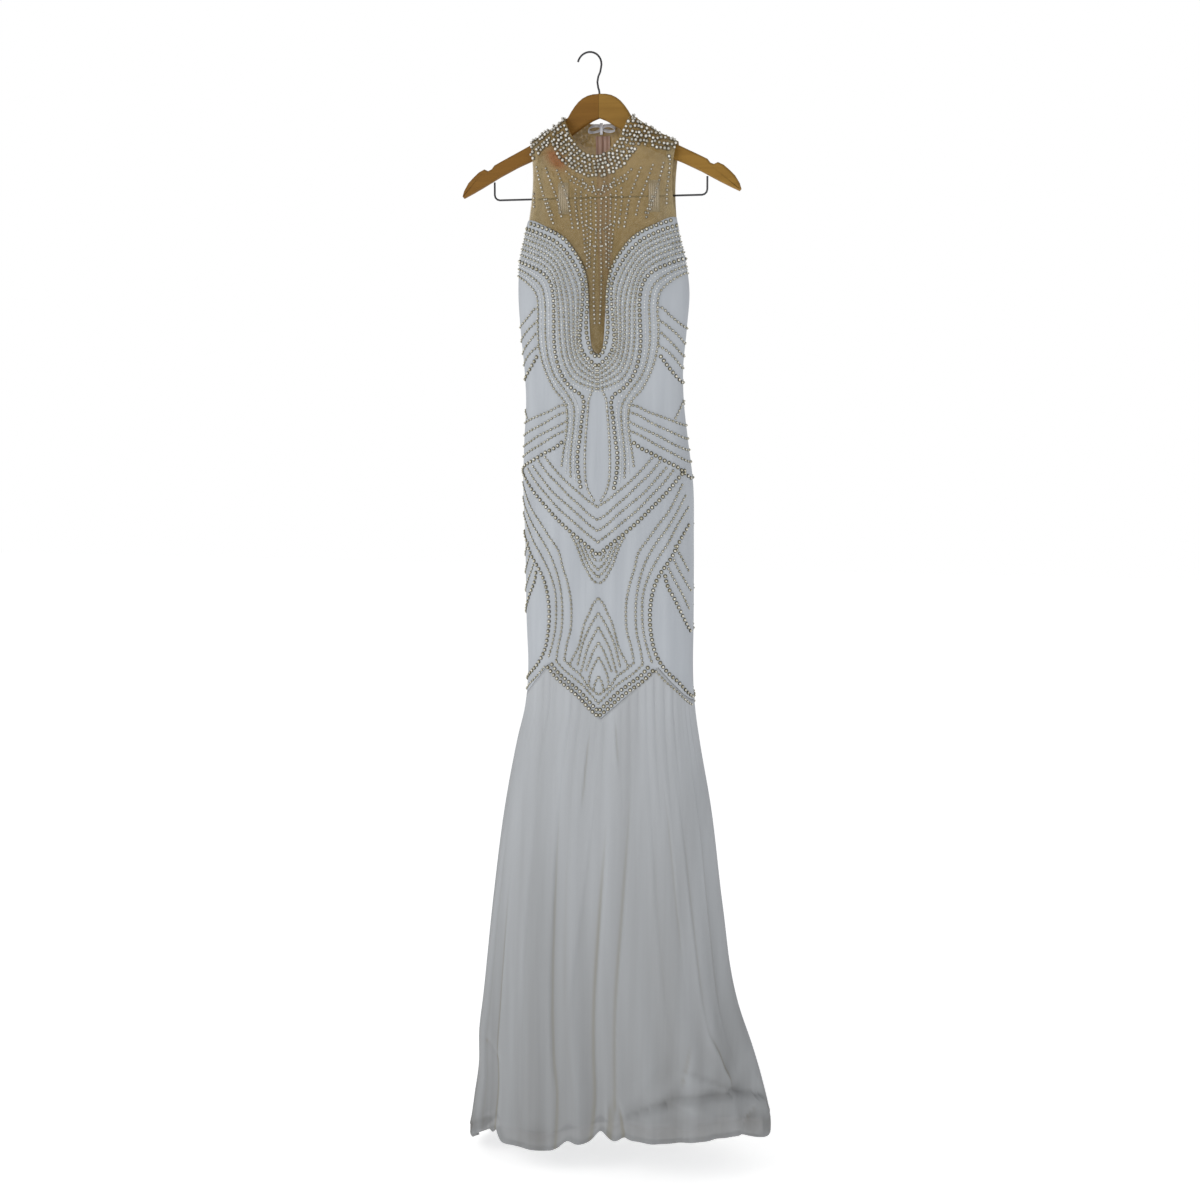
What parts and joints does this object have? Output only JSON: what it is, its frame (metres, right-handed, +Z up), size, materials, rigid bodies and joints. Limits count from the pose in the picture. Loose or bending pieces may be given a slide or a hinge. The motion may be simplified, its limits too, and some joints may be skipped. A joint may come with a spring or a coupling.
{
  "type": "beaded dress on a hanger",
  "caption": "Long sleeveless mermaid dress with a mesh yoke, pearl rows, a W-shaped dropped waist seam and a gathered skirt, on a wooden trouser hanger.",
  "frame": {"origin": "inside of the hook's crown, where a rail carries the hanger", "axes": "+Z up, +X to the right seen from the front, -Y towards the front of the dress"},
  "size_m": [0.4998, 0.2137, 1.7435],
  "materials": {
    "nude_mesh": "fine nude mesh",
    "white_crepe": "matt white crepe",
    "white_chiffon": "soft sheer chiffon",
    "white_lining": "plain white lining",
    "zip_tape": "woven nude tape",
    "label_ribbon": "white satin ribbon",
    "zip_metal": "pale plated metal",
    "pearls": "pearly beads",
    "dark_wood": "varnished",
    "light_wood": "varnished",
    "dark_steel": "dark polished wire",
    "bright_steel": "bright sheet steel"
  },
  "bodies": {
    "dress": {"yoke_front": "nude_mesh", "yoke_back_left": "nude_mesh", "yoke_back_right": "nude_mesh", "armhole_facing_left": "nude_mesh", "armhole_facing_right": "nude_mesh", "bodice_front": "white_crepe", "bodice_back_left": "white_crepe", "bodice_back_right": "white_crepe", "skirt_front": "white_chiffon", "skirt_back": "white_chiffon", "underskirt_front": "white_lining", "underskirt_back": "white_lining", "zip_tape_left": "zip_tape", "zip_tape_right": "zip_tape", "label": "label_ribbon", "zip_slider": "zip_metal", "neck_row": "pearls", "bust_row_left": "pearls", "bust_row_right": "pearls", "waist_row": "pearls", "hip_row_left": "pearls", "hip_row_right": "pearls", "seam_row": "pearls", "hanger_left": "dark_wood", "hanger_right": "light_wood", "hook": "dark_steel", "trouser_bar": "dark_steel", "clip_1": "bright_steel", "clip_2": "bright_steel"},
    "zip_pull": {"zip_pull": "zip_metal"}
  },
  "joints": [
    {"name": "zip_pull_hinge", "type": "hinge", "parent": "dress", "child": "zip_pull", "pos_m": [0.0163, 0.02779, -0.115], "axis": [1, 0, 0], "range_deg": [0, 150]}
  ]
}
